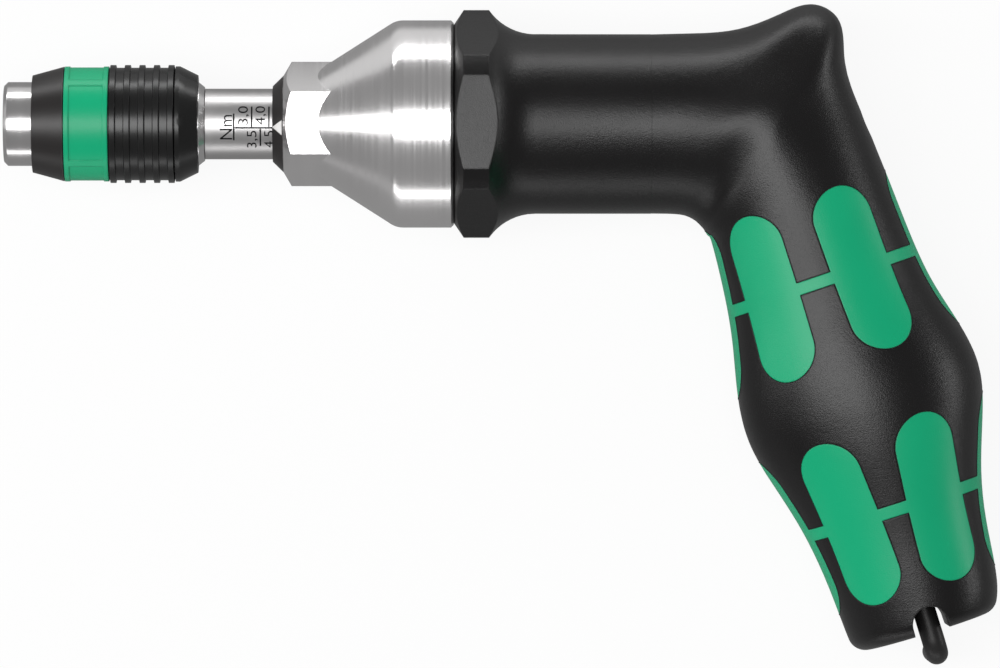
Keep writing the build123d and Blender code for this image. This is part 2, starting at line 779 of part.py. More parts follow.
# Handle moulding: anti-roll hexagon, barrel, elbow and grip in one piece
key_plane = Plane(origin=base_point, x_dir=grip_across, z_dir=-grip_down)
with BuildPart() as handle_body:
    with BuildSketch(Plane.XY) as barrel_profile:
        with BuildLine():
            Polyline(
                (barrel_start_x, barrel_r),
                (barrel_end_x, barrel_r),
                (barrel_end_x, 0),
                (housing_end_x, 0),
                (housing_end_x, ring_front_r),
                (housing_end_x + ring_front_length, ring_turned_r),
                (ring_land_end_x, ring_turned_r),
            )
            TangentArc(
                (barrel_start_x, barrel_r),
                (ring_land_end_x, ring_turned_r),
                tangent=(-1, 0),
            )
        make_face()
    revolve(barrel_profile.sketch, axis=Axis.X)
    with BuildSketch(Plane.YZ.offset(housing_end_x)) as flats:
        RegularPolygon(ring_flat_r, 6, major_radius=False)
    extrude(flats.sketch, amount=barrel_end_x - housing_end_x, mode=Mode.INTERSECT)
    add(grip_skin.part)
    add(upper_zones.part, mode=Mode.SUBTRACT)
    add(lower_zones.part, mode=Mode.SUBTRACT)
    turn_ring(housing_end_x, core_end_x, 0, core_r, Mode.SUBTRACT)
    turn_ring(core_end_x, barrel_end_x + setting_bore_reach, 0, setting_bore_d / 2, Mode.SUBTRACT)
    with BuildSketch(key_plane) as key_bore:
        Circle(key_bore_r)
    extrude(key_bore.sketch, amount=key_magnet_s + key_magnet_length, mode=Mode.SUBTRACT)
    with BuildSketch(key_plane.offset(retainer_s)) as retainer_groove:
        Circle(retainer_d / 2)
    extrude(retainer_groove.sketch, amount=retainer_length, mode=Mode.SUBTRACT)
    with BuildSketch(Plane(origin=base_point, x_dir=grip_across, z_dir=(0, 0, 1))) as notch:
        with Locations((0, notch_straight / 2)):
            Rectangle(notch_width, notch_straight)
        with Locations((0, -notch_width / 2)):
            Rectangle(notch_width, notch_width)
        with Locations((0, notch_straight)):
            Circle(notch_width / 2)
    extrude(notch.sketch, amount=notch_reach, both=True, mode=Mode.SUBTRACT)
handle_body.part.label = "handle_body"
export_step(handle_body.part, "parts/handle_body.step")

with BuildPart() as key_magnet:
    with BuildSketch(key_plane.offset(key_magnet_s)) as magnet_face:
        Circle(key_bore_r)
    extrude(magnet_face.sketch, amount=key_magnet_length)
key_magnet.part.label = "key_magnet"
export_step(key_magnet.part, "parts/key_magnet.step")

with BuildPart() as key_retainer:
    with BuildSketch(key_plane.offset(retainer_s)) as retainer_face:
        Circle(retainer_d / 2)
        Circle(retainer_bore_d / 2, mode=Mode.SUBTRACT)
    extrude(retainer_face.sketch, amount=retainer_length)
key_retainer.part.label = "key_retainer"
export_step(key_retainer.part, "parts/key_retainer.step")

# Setting key: round rod with a hexagonal tip and a bent arm that points down, behind the grip
key_top = base_point - grip_down * key_inside
key_shank_end = key_top + grip_down * key_tip_length
key_corner = base_point + grip_down * (key_stand_out - key_d / 2)
with BuildPart() as setting_key:
    with BuildLine() as rod_path:
        FilletPolyline(
            key_shank_end,
            key_corner,
            key_corner + Vector(0, 0, -key_arm_z),
            radius=key_bend,
        )
    with BuildSketch(Plane(origin=key_shank_end, x_dir=grip_across, z_dir=grip_down)) as rod:
        Circle(key_d / 2)
    sweep(rod.sketch, path=rod_path.line)
    chamfer(setting_key.faces().sort_by(Axis.Z)[0].edges(), key_chamfer)
    with BuildSketch(Plane(origin=key_top, x_dir=grip_across, z_dir=grip_down)) as tip:
        RegularPolygon(key_tip_af / 2, 6, major_radius=False)
    extrude(tip.sketch, amount=key_tip_length)
setting_key.part.label = "setting_key"
export_step(setting_key.part, "parts/setting_key.step")
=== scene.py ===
import math

import bmesh
import bpy
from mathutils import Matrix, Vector


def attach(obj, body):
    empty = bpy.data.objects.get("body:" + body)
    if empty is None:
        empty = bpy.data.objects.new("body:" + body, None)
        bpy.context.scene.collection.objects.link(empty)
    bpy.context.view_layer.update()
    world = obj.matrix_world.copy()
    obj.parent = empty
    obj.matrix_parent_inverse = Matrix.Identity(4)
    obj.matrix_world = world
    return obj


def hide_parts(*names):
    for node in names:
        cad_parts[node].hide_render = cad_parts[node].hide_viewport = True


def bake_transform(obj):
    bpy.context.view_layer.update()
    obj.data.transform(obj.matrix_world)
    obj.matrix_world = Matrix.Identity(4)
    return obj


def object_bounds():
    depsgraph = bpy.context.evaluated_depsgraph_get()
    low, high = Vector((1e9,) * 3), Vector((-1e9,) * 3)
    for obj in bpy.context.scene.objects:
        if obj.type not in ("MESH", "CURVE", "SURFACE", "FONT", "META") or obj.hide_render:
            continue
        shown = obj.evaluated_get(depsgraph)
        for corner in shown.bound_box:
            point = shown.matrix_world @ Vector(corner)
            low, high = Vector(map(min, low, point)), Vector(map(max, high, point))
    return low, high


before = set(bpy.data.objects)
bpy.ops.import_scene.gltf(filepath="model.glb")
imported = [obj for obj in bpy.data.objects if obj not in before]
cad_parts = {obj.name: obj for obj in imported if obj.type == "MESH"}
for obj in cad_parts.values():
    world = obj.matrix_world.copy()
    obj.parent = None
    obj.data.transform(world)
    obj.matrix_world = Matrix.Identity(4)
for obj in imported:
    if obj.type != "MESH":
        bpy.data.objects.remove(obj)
cad_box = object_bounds()

# The photograph's frame: metres a pixel, and the pixel of the model's origin
image_width = 1000
image_height = 668
pixel = 0.00013
origin_px = 4.5
origin_py = 124.0
sensor_width = 36.0
camera_height = 1.3

# Places on the model, in metres
tube_radius = 0.00459
pointer_front = 0.0349
pointer_back = 0.0363
pointer_front_radius = 0.004935
pointer_back_radius = 0.0063
grip_top = Vector((0.1049, -0.02085, 0.0))
grip_bottom = Vector((0.1151, -0.0501, 0.0))

# Columns and rows of the photograph where the print stands, in pixels
unit_columns = (220.8, 233.0)
unit_rows = (140.0, 115.8)
unit_bar_column = 234.6
unit_bar_rows = (140.8, 114.3)
first_mark_column = 252.5
middle_line_row = 128.5
upper_mark_row = 107.3
upper_number_rows = (125.6, 107.0)
lower_mark_row = 146.4
lower_number_rows = (148.0, 131.4)
pointer_tip_column = 273.3
pointer_tip_row = 127.9
pointer_base_column = 282.7
pointer_base_rows = (136.3, 121.0)

# Print, seams and springs: lengths in metres, angles in radians
print_depth = 0.000016
line_half = 0.0001
line_gap = line_half * 1.2
print_step = 0.0003
scale_numbers = ("3,0", "3,5", "4,0", "4,5", "5,0", "5,5", "6,0")
scale_pitch = 0.002236
middle_line_marks = 3.05
character_foot = 0.00030
character_head = 0.00175
pointer_tip_share = 0.04
seam_radius = 0.00005
seam_fold = math.radians(35)
seam_outward_share = 0.55
spring_end_gap = 0.00001
spring_steps = 40
wire_flat_share = 0.75
smooth_fold = math.radians(26)
same_point = 0.000001

# Lettering, in the font's own units
letter_half_depth = 0.01
letter_thinning = -0.004
letter_steps = 6
letter_same_point = 0.0001
letter_long_edge = 0.15

# Linear colours
black = (0.0016, 0.0012, 0.0014)
rubbed_black = (0.030, 0.029, 0.029)
deep_black = (0.003, 0.003, 0.003)
rubbed_deep_black = (0.07, 0.07, 0.07)
green = (0.0005, 0.365, 0.167)
rubbed_green = (0.02, 0.43, 0.21)
# Painted shade: the dark green of the line laid along the inserts' borders
seam_shade_dark = (0.002, 0.030, 0.016)
nickel = (0.88, 0.865, 0.865)
ground_steel = (0.54, 0.53, 0.53)
bright_steel = (0.72, 0.71, 0.71)
hardened = (0.50, 0.49, 0.48)
oiled_steel = (0.33, 0.32, 0.31)
blackened = (0.012, 0.0100, 0.0098)
rubbed_blackened = (0.16, 0.15, 0.15)
key_oxide = (0.020, 0.019, 0.019)
rubbed_key = (0.10, 0.10, 0.10)
magnet_grey = (0.10, 0.10, 0.105)
rubbed_magnet = (0.3, 0.3, 0.3)
bronze = (0.52, 0.34, 0.15)
ink = (0.006, 0.006, 0.007)
white_paint = (0.80, 0.79, 0.78)
rubber = (0.012, 0.012, 0.012)
rubbed_rubber = (0.03, 0.03, 0.03)

# Finishes; rates and patches are per metre
wide_pit_share = 0.3
coarse_share = 0.3
round_axis_rate = 30.0
wear_rate = 700.0
wear_limits = (0.35, 0.6)
flat_facing = 0.995
bent_facing = 0.86
bevel_samples = 6
moulded_patches = 90.0
moulded_rub_polish = 0.75
moulded_relief = 0.6
metal_patches = 120.0
metal_rub = 0.6
metal_rub_polish = 0.7
metal_rub_brightening = 1.2
metal_relief = 0.5

# The floor's own grey, and how bright it glows in reflections, by distance across it: strips
# beside the object glow brighter in reflections only, a painted reflection that lays highlights on
# the metals
floor_paper = (0.86, 0.86, 0.86, 1.0)
floor_white_share = 0.91
floor_mirror = 0.22
upper_reflection_glow = (0.059, 0.068)
upper_reflection_glow_gain = 0.40
lower_reflection_glow = (-0.040, -0.060)
lower_reflection_glow_gain = 0.12
floor_drop = 0.00002
floor_middle = (0.06, -0.03)
floor_half_size = 2.0
room_level = 0.26


def photo_x(px):
    """Place along the spindle, in metres, of a column of the photograph."""
    return pixel * (px - origin_px)


def photo_y(py):
    """Height beside the spindle, in metres, of a row of the photograph."""
    return pixel * (origin_py - py)


def add_object(name, data):
    """Puts a new object with this data into the scene."""
    made = bpy.data.objects.new(name, data)
    bpy.context.scene.collection.objects.link(made)
    return made


# Shader nodes


def shader(tree, kind, inputs=None, **settings):
    """Adds a shader node, sets its properties, and sets or links its inputs."""
    made = tree.nodes.new("ShaderNode" + kind)
    for name, value in settings.items():
        setattr(made, name, value)
    fill(tree, made, inputs or {})
    return made


def fill(tree, made, inputs):
    """Links each input that is given a socket, and sets the others."""
    for name, value in inputs.items():
        if isinstance(value, bpy.types.NodeSocket):
            tree.links.new(value, made.inputs[name])
        else:
            made.inputs[name].default_value = value


def math_node(tree, operation, *values):
    return shader(tree, "Math", dict(enumerate(values)), operation=operation).outputs[0]


def blend_colour(tree, factor, low, high):
    mix = shader(tree, "Mix", {0: factor, 6: low, 7: high}, data_type="RGBA")
    return mix.outputs[2]


def blend_number(tree, factor, low, high):
    mix = shader(tree, "Mix", {0: factor, 2: low, 3: high}, data_type="FLOAT")
    return mix.outputs[0]


def stretch(tree, value, low, high):
    """Maps low to 0 and high to 1, and holds what lies beyond."""
    inputs = {"Value": value, "From Min": low, "From Max": high}
    return shader(tree, "MapRange", inputs).outputs["Result"]


def object_place(tree):
    """The point on the object that is being shaded."""
    return shader(tree, "TexCoord").outputs["Object"]


def softened_edges(tree, radius):
    """The normal, rounded over edges within a radius."""
    return shader(tree, "Bevel", {"Radius": radius}, samples=bevel_samples).outputs["Normal"]


def effect(name, inputs, outputs):
    """A shader node group with named sockets, with its input and output ends."""
    tree = bpy.data.node_groups.new(name, "ShaderNodeTree")
    sockets = tree.interface
    for socket_name, value in inputs.items():
        kind = "NodeSocketColor" if isinstance(value, tuple) else "NodeSocketFloat"
        made = sockets.new_socket(socket_name, in_out="INPUT", socket_type=kind)
        made.default_value = value
    for socket_name, kind in outputs.items():
        sockets.new_socket(socket_name, in_out="OUTPUT", socket_type="NodeSocket" + kind)
    given = tree.nodes.new("NodeGroupInput").outputs
    result = tree.nodes.new("NodeGroupOutput").inputs
    return tree, given, result


def place(tree, group, inputs):
    """Puts an effect into a material with its own values."""
    made = tree.nodes.new("ShaderNodeGroup")
    made.node_tree = group
    fill(tree, made, inputs)
    return made.outputs


def opaque(rgb):
    return (*rgb, 1.0)


def build_uneven_tone():
    """Broad patches over a surface, a little lighter, darker or duller."""
    tree, given, result = effect(
        "uneven_tone",
        {
            "Colour": (0.5, 0.5, 0.5, 1.0),
            "Roughness": 0.5,
            "Patches per Metre": 60.0,
            "Tone Spread": 0.2,
            "Roughness Spread": 0.1,
        },
        {"Colour": "Color", "Roughness": "Float"},
    )
    noise = shader(
        tree,
        "TexNoise",
        {"Vector": object_place(tree), "Scale": given["Patches per Metre"], "Detail": 4.0},
    )
    centred = math_node(tree, "SUBTRACT", noise.outputs["Fac"], 0.5)
    tone = math_node(tree, "MULTIPLY_ADD", centred, given["Tone Spread"], 1.0)
    toned = shader(tree, "VectorMath", {0: given["Colour"], "Scale": tone}, operation="SCALE")
    rough = math_node(
        tree, "MULTIPLY_ADD", centred, given["Roughness Spread"], given["Roughness"]
    )
    tree.links.new(toned.outputs[0], result["Colour"])
    tree.links.new(rough, result["Roughness"])
    return tree


def build_fine_grain():
    """Moulded or blasted grain: pits of two sizes."""
    tree, given, result = effect(
        "fine_grain", {"Grains per Metre": 3000.0, "Coarse Share": 0.4}, {"Height": "Float"}
    )
    spot = object_place(tree)
    fine_rate = given["Grains per Metre"]
    wide_rate = math_node(tree, "MULTIPLY", fine_rate, wide_pit_share)
    fine = shader(tree, "TexNoise", {"Vector": spot, "Scale": fine_rate, "Detail": 2.0})
    wide = shader(tree, "TexNoise", {"Vector": spot, "Scale": wide_rate, "Detail": 1.0})
    height = blend_number(tree, given["Coarse Share"], fine.outputs["Fac"], wide.outputs["Fac"])
    tree.links.new(height, result["Height"])
    return tree


def build_turning_lines():
    """Fine lines that a lathe leaves round the spindle axis: a height, and wider streaks."""
    tree, given, result = effect(
        "turning_lines",
        {"Lines per Metre": 6000.0, "Streaks per Metre": 900.0},
        {"Height": "Float", "Streak": "Float"},
    )
    along = shader(tree, "SeparateXYZ", {"Vector": object_place(tree)}).outputs
    for rate, end in (("Lines per Metre", "Height"), ("Streaks per Metre", "Streak")):
        x = math_node(tree, "MULTIPLY", along["X"], given[rate])
        y = math_node(tree, "MULTIPLY", along["Y"], round_axis_rate)
        z = math_node(tree, "MULTIPLY", along["Z"], round_axis_rate)
        spot = shader(tree, "CombineXYZ", {"X": x, "Y": y, "Z": z}).outputs[0]
        lines = shader(tree, "TexNoise", {"Vector": spot, "Scale": 1.0, "Detail": 3.0})
        tree.links.new(lines.outputs["Fac"], result[end])
    return tree


def build_rubbed_edges():
    """Edges rubbed to another colour, broken up as real wear is."""
    tree, given, result = effect(
        "rubbed_edges",
        {
            "Colour": (0.5, 0.5, 0.5, 1.0),
            "Rubbed Colour": (0.5, 0.5, 0.5, 1.0),
            "Roughness": 0.5,
            "Rubbed Roughness": 0.3,
            "Reach": 0.0003,
            "Amount": 0.5,
        },
        {"Colour": "Color", "Roughness": "Float"},
    )
    rounded = softened_edges(tree, given["Reach"])
    true_normal = shader(tree, "NewGeometry").outputs["Normal"]
    facing = shader(tree, "VectorMath", {0: rounded, 1: true_normal}, operation="DOT_PRODUCT")
    bend = stretch(tree, facing.outputs["Value"], flat_facing, bent_facing)
    broken = shader(
        tree, "TexNoise", {"Vector": object_place(tree), "Scale": wear_rate, "Detail": 3.0}
    )
    patchy = stretch(tree, broken.outputs["Fac"], *wear_limits)
    worn = math_node(tree, "MULTIPLY", bend, patchy)
    mask = math_node(tree, "MULTIPLY", worn, given["Amount"])
    colour = blend_colour(tree, mask, given["Colour"], given["Rubbed Colour"])
    rough = blend_number(tree, mask, given["Roughness"], given["Rubbed Roughness"])
    tree.links.new(colour, result["Colour"])
    tree.links.new(rough, result["Roughness"])
    return tree


uneven_tone = build_uneven_tone()
fine_grain = build_fine_grain()
turning_lines = build_turning_lines()
rubbed_edges = build_rubbed_edges()


# Materials


def empty_tree(owner):
    """The node tree of a material or world, cleared."""
    owner.use_nodes = True
    owner.node_tree.nodes.clear()
    return owner.node_tree


def new_material(name, **sockets):
    """A material with one Principled surface, whose constant sockets are set here."""
    material = bpy.data.materials.new(name)
    tree = empty_tree(material)
    surface = shader(tree, "BsdfPrincipled")
    shader(tree, "OutputMaterial", {"Surface": surface.outputs[0]})
    for socket_name, value in sockets.items():
        surface.inputs[socket_name.replace("_", " ")].default_value = value
    return material, tree, surface


def finish_surface(
    tree, surface, tone, rubbed, rubbed_roughness, amount, height, depth, strength, edge
):
    """Rubs and softens the edges, and lays a fine relief over the surface."""
    worn = place(
        tree,
        rubbed_edges,
        {
            "Colour": tone["Colour"],
            "Rubbed Colour": opaque(rubbed),
            "Roughness": tone["Roughness"],
            "Rubbed Roughness": rubbed_roughness,
            "Reach": edge,
            "Amount": amount,
        },
    )
    relief = {
        "Height": height,
        "Distance": depth,
        "Strength": strength,
        "Normal": softened_edges(tree, edge),
    }
    bump = shader(tree, "Bump", relief)
    tree.links.new(worn["Colour"], surface.inputs["Base Color"])
    tree.links.new(worn["Roughness"], surface.inputs["Roughness"])
    tree.links.new(bump.outputs["Normal"], surface.inputs["Normal"])


def grained(
    name,
    colour,
    roughness,
    rubbed,
    depth,
    grains=3500.0,
    edge=0.0003,
    amount=0.3,
    spread=0.25,
    **sockets,
):
    """Moulded plastic, rubber, paint or a blackened finish, with a fine grain and rubbed edges."""
    material, tree, surface = new_material(name, **sockets)
    tone = place(
        tree,
        uneven_tone,
        {
            "Colour": opaque(colour),
            "Roughness": roughness,
            "Patches per Metre": moulded_patches,
            "Tone Spread": spread,
        },
    )
    grain = place(tree, fine_grain, {"Grains per Metre": grains, "Coarse Share": coarse_share})
    finish_surface(
        tree,
        surface,
        tone,
        rubbed,
        rubbed_roughness=roughness * moulded_rub_polish,
        amount=amount,
        height=grain["Height"],
        depth=depth,
        strength=moulded_relief,
        edge=edge,
    )
    return material


def turned(
    name,
    colour,
    roughness,
    depth,
    lines=7000.0,
    edge=0.0002,
    spread=0.08,
    streaks=700.0,
    uneven=0.14,
):
    """Bare metal turned or ground round the spindle axis; its streaks shine unevenly."""
    material, tree, surface = new_material(name, Metallic=1.0)
    cut = place(tree, turning_lines, {"Lines per Metre": lines, "Streaks per Metre": streaks})
    streak = math_node(tree, "SUBTRACT", cut["Streak"], 0.5)
    streaked = math_node(tree, "MULTIPLY_ADD", streak, uneven, roughness)
    tone = place(
        tree,
        uneven_tone,
        {
            "Colour": opaque(colour),
            "Roughness": streaked,
            "Patches per Metre": metal_patches,
            "Tone Spread": spread,
        },
    )
    finish_surface(
        tree,
        surface,
        tone,
        rubbed=[min(1.0, value * metal_rub_brightening) for value in colour],
        rubbed_roughness=roughness * metal_rub_polish,
        amount=metal_rub,
        height=cut["Height"],
        depth=depth,
        strength=metal_relief,
        edge=edge,
    )
    return material


handle_black = grained(
    "handle_black",
    black,
    roughness=0.33,
    rubbed=rubbed_black,
    depth=0.000065,
    grains=6500.0,
    amount=0.25,
    Specular_IOR_Level=0.42,
)
soft_green = grained(
    "soft_green",
    green,
    roughness=0.36,
    rubbed=rubbed_green,
    depth=0.000040,
    grains=6500.0,
    amount=0.2,
    spread=0.12,
    Specular_IOR_Level=0.35,
)
# Painted shade for the inserts' borders, worn by a thin dark tube
seam_shade_green = grained(
    "seam_shade_green", seam_shade_dark, roughness=0.6, rubbed=seam_shade_dark, depth=0.000005, amount=0.0
)
turned_nickel = turned(
    "turned_nickel", nickel, roughness=0.22, depth=0.000005, streaks=3200.0, uneven=0.22
)
ground_tube = turned("ground_tube", ground_steel, roughness=0.36, depth=0.000002, lines=11000.0)
ground_spindle = turned(
    "ground_spindle", bright_steel, roughness=0.20, depth=0.000003, lines=9000.0
)
hard_steel = turned("hard_steel", hardened, roughness=0.25, depth=0.000003)
spring_wire = turned("spring_wire", oiled_steel, roughness=0.35, depth=0.000003)
turned_bronze = turned("turned_bronze", bronze, roughness=0.32, depth=0.000005)
blackened_steel = grained(
    "blackened_steel",
    blackened,
    roughness=0.38,
    rubbed=rubbed_blackened,
    depth=0.000004,
    grains=9000.0,
    edge=0.00018,
    amount=0.5,
    Metallic=0.1,
    Specular_IOR_Level=0.55,
)
sleeve_black = grained(
    "sleeve_black",
    deep_black,
    roughness=0.28,
    rubbed=rubbed_deep_black,
    depth=0.000005,
    grains=8000.0,
    edge=0.00015,
    Specular_IOR_Level=0.50,
)
key_black = grained(
    "key_black",
    key_oxide,
    roughness=0.42,
    rubbed=rubbed_key,
    depth=0.000005,
    grains=8000.0,
    amount=0.4,
    Metallic=0.4,
)
dark_magnet = grained(
    "dark_magnet",
    magnet_grey,
    roughness=0.38,
    rubbed=rubbed_magnet,
    depth=0.000006,
    grains=6000.0,
    Metallic=0.6,
)
black_rubber = grained(
    "black_rubber", rubber, roughness=0.65, rubbed=rubbed_rubber, depth=0.000010
)
scale_ink = grained(
    "scale_ink", ink, roughness=0.6, rubbed=ink, depth=0.000002, amount=0.0, Specular_IOR_Level=0.1
)
pointer_paint = grained(
    "pointer_paint",
    white_paint,
    roughness=0.45,
    rubbed=white_paint,
    depth=0.000003,
    amount=0.0,
    spread=0.05,
)

node_finish = {
    "adjusting_screw": hard_steel,
    "bit_magnet": dark_magnet,
    "clutch_rollers": hard_steel,
    "cone_housing": turned_nickel,
    "core_sleeve": spring_wire,
    "driven_cam": hard_steel,
    "driving_cam": hard_steel,
    "end_plug": turned_bronze,
    "front_cap": blackened_steel,
    "front_race": hard_steel,
    "grip_insert_lower": soft_green,
    "grip_insert_upper": soft_green,
    "grip_ring": soft_green,
    "guide_key": hard_steel,
    "handle_body": handle_black,
    "key_magnet": dark_magnet,
    "key_retainer": black_rubber,
    "lock_balls": hard_steel,
    "locking_sleeve": sleeve_black,
    "pointer_ring": blackened_steel,
    "rear_race": hard_steel,
    "scale_tube": ground_tube,
    "setting_key": key_black,
    "setting_nut": turned_bronze,
    "sleeve_spring": spring_wire,
    "spin_sleeve": sleeve_black,
    "spindle": ground_spindle,
    "spring_seat": hard_steel,
    "stop_ring": ground_spindle,
    "thrust_cage": turned_bronze,
    "thrust_rollers": hard_steel,
    "torque_spring": spring_wire,
    "tube_bushes": turned_bronze,
    "tube_clip": spring_wire,
}


def build_smoothing():
    """Geometry nodes that shade shallow edges smooth and keep real edges sharp."""
    tree = bpy.data.node_groups.new("shade_by_angle", "GeometryNodeTree")
    for end in ("INPUT", "OUTPUT"):
        tree.interface.new_socket("Geometry", in_out=end, socket_type="NodeSocketGeometry")
    given = tree.nodes.new("NodeGroupInput")
    result = tree.nodes.new("NodeGroupOutput")
    plain = tree.nodes.new("GeometryNodeRemoveAttribute")
    plain.inputs["Name"].default_value = "custom_normal"
    merge = tree.nodes.new("GeometryNodeMergeByDistance")
    merge.inputs["Distance"].default_value = same_point / 2
    angle = tree.nodes.new("GeometryNodeInputMeshEdgeAngle")
    shallow = tree.nodes.new("FunctionNodeCompare")
    shallow.operation = "LESS_THAN"
    shallow.inputs[1].default_value = smooth_fold
    faces = tree.nodes.new("GeometryNodeSetShadeSmooth")
    edges = tree.nodes.new("GeometryNodeSetShadeSmooth")
    edges.domain = "EDGE"
    link = tree.links.new
    link(given.outputs[0], plain.inputs["Geometry"])
    link(plain.outputs["Geometry"], merge.inputs["Geometry"])
    link(merge.outputs["Geometry"], faces.inputs["Geometry"])
    link(faces.outputs["Geometry"], edges.inputs["Geometry"])
    link(angle.outputs["Unsigned Angle"], shallow.inputs[0])
    link(shallow.outputs[0], edges.inputs["Shade Smooth"])
    link(edges.outputs["Geometry"], result.inputs[0])
    return tree


shade_by_angle = build_smoothing()
for name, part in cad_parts.items():
    part.data.materials.clear()
    part.data.materials.append(node_finish[name])
    part.modifiers.new("smooth_shading", "NODES").node_group = shade_by_angle


# Pieces


def piece_from_bmesh(name, shape, material):
    """Makes a finished piece."""
    mesh = bpy.data.meshes.new(name)
    bmesh.ops.recalc_face_normals(shape, faces=shape.faces[:])
    shape.to_mesh(mesh)
    shape.free()
    mesh.materials.append(material)
    piece = add_object(name, mesh)
    return piece


def on_tube(x, arc, lift):
    """A point on the scale tube, by its place along it and round it from the top."""
    radius = tube_radius + lift
    turn = arc / tube_radius
    return Vector((x, radius * math.sin(turn), radius * math.cos(turn)))


def arc_of(py):
    """Arc length round the scale tube, from its top, of a row of the photograph."""
    return tube_radius * math.asin(photo_y(py) / tube_radius)


def add_block(shape, place_at, steps_u, steps_v):
    """Adds a thin closed block; place_at(u, v, top) gives its points, with u and v from 0 to 1."""

    def layer_of(top):
        return [
            [shape.verts.new(place_at(i / steps_u, j / steps_v, top)) for j in range(steps_v + 1)]
            for i in range(steps_u + 1)
        ]

    layers = [layer_of(False), layer_of(True)]
    for layer in layers:
        for i in range(steps_u):
            for j in range(steps_v):
                shape.faces.new(
                    (layer[i][j], layer[i + 1][j], layer[i + 1][j + 1], layer[i][j + 1])
                )
    rim = [(i, 0) for i in range(steps_u)] + [(steps_u, j) for j in range(steps_v)]
    rim += [(i, steps_v) for i in range(steps_u, 0, -1)] + [(0, j) for j in range(steps_v, 0, -1)]
    for (a, b), (c, d) in zip(rim, rim[1:] + rim[:1]):
        shape.faces.new((layers[0][a][b], layers[0][c][d], layers[1][c][d], layers[1][a][b]))


def add_tube_bar(shape, start_x, end_x, start_arc, end_arc):
    """A printed line on the scale tube."""
    steps = max(1, int(abs(end_arc - start_arc) / print_step))

    def place_at(u, v, top):
        x = start_x + (end_x - start_x) * u
        arc = start_arc + (end_arc - start_arc) * v
        return on_tube(x, arc, print_depth if top else -print_depth)

    add_block(shape, place_at, steps_u=1, steps_v=steps)


def flat_characters(words):
    """Solid characters in the font's own units, with edges short enough to bend round the tube."""
    curve = bpy.data.curves.new("scale_characters", "FONT")
    curve.body = words
    curve.extrude = letter_half_depth
    curve.offset = letter_thinning
    curve.resolution_u = letter_steps
    letters = add_object("scale_characters", curve)
    bpy.context.view_layer.update()
    drawn = letters.evaluated_get(bpy.context.evaluated_depsgraph_get())
    flat = bpy.data.meshes.new_from_object(drawn)
    bpy.data.objects.remove(letters)
    bpy.data.curves.remove(curve)
    glyphs = bmesh.new()
    glyphs.from_mesh(flat)
    bpy.data.meshes.remove(flat)
    bmesh.ops.remove_doubles(glyphs, verts=glyphs.verts[:], dist=letter_same_point)
    bmesh.ops.triangulate(glyphs, faces=glyphs.faces[:])
    long_edges = [edge for edge in glyphs.edges if edge.calc_length() > letter_long_edge]
    bmesh.ops.subdivide_edges(glyphs, edges=long_edges, cuts=2)
    return glyphs


def add_tube_text(shape, words, left, right, low_arc, high_arc):
    """Printed characters that read round the tube, with their feet towards the handle."""
    glyphs = flat_characters(words)
    xs = [vert.co.x for vert in glyphs.verts]
    ys = [vert.co.y for vert in glyphs.verts]
    for vert in glyphs.verts:
        reading = (vert.co.x - min(xs)) / (max(xs) - min(xs))
        rising = (vert.co.y - min(ys)) / (max(ys) - min(ys))
        arc = low_arc + (high_arc - low_arc) * reading
        x = right + (left - right) * rising
        vert.co = on_tube(x, arc, print_depth if vert.co.z > 0 else -print_depth)
    bmesh.ops.remove_doubles(glyphs, verts=glyphs.verts[:], dist=same_point)
    done = bpy.data.meshes.new("scale_characters")
    glyphs.to_mesh(done)
    glyphs.free()
    shape.from_mesh(done)
    bpy.data.meshes.remove(done)


# Printed scale: upper row whole numbers, lower row halves, and the unit at its front end
first_mark = photo_x(first_mark_column)
unit_bar = photo_x(unit_bar_column)
middle_arc = arc_of(middle_line_row)
middle_line_end = first_mark + middle_line_marks * scale_pitch
scale_print = bmesh.new()
add_tube_text(scale_print, "Nm", *map(photo_x, unit_columns), *map(arc_of, unit_rows))
add_tube_bar(scale_print, unit_bar - line_half, unit_bar + line_half, *map(arc_of, unit_bar_rows))
add_tube_bar(
    scale_print,
    unit_bar + line_gap,
    middle_line_end,
    middle_arc - line_half,
    middle_arc + line_half,
)
for step, words in enumerate(scale_numbers):
    mark_x = first_mark + step * scale_pitch / 2
    if step % 2 == 0:
        foot_arc = middle_arc + line_gap
        head_arc = arc_of(upper_mark_row)
        number_rows = upper_number_rows
    else:
        foot_arc = middle_arc - line_gap
        head_arc = arc_of(lower_mark_row)
        number_rows = lower_number_rows
    add_tube_bar(scale_print, mark_x - line_half, mark_x + line_half, foot_arc, head_arc)
    left = mark_x - character_head
    right = mark_x - character_foot
    add_tube_text(scale_print, words, left, right, *map(arc_of, number_rows))
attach(piece_from_bmesh("scale_print", scale_print, scale_ink), "carriage")

# White pointer on the bevelled ring
pointer_tip = (photo_x(pointer_tip_column), photo_y(pointer_tip_row))
pointer_base_x = photo_x(pointer_base_column)
pointer_base = [photo_y(row) for row in pointer_base_rows]


def on_pointer_ring(u, v, top):
    """A point of the pointer's triangle, from its blunted tip at u 0 to its base at u 1."""
    x = pointer_tip[0] + (pointer_base_x - pointer_tip[0]) * u
    share = (x - pointer_front) / (pointer_back - pointer_front)
    radius = pointer_front_radius + (pointer_back_radius - pointer_front_radius) * share
    radius += print_depth if top else -print_depth
    width = pointer_tip_share + (1.0 - pointer_tip_share) * u
    low = pointer_tip[1] + (pointer_base[0] - pointer_tip[1]) * width
    high = pointer_tip[1] + (pointer_base[1] - pointer_tip[1]) * width
    y = low + (high - low) * v
    return Vector((x, y, math.sqrt(radius**2 - y**2)))


pointer = bmesh.new()
add_block(pointer, on_pointer_ring, steps_u=6, steps_v=8)
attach(piece_from_bmesh("pointer_triangle", pointer, pointer_paint), "handle")


def wire_section(wire):
    """Corners of a square wire with broken edges, as distances outwards and along the axis."""
    half = wire / 2
    flat = half * wire_flat_share
    section = [(half, -flat), (half, flat), (flat, half), (-flat, half)]
    return section + [(-half, flat), (-half, -flat), (-flat, -half), (flat, -half)]


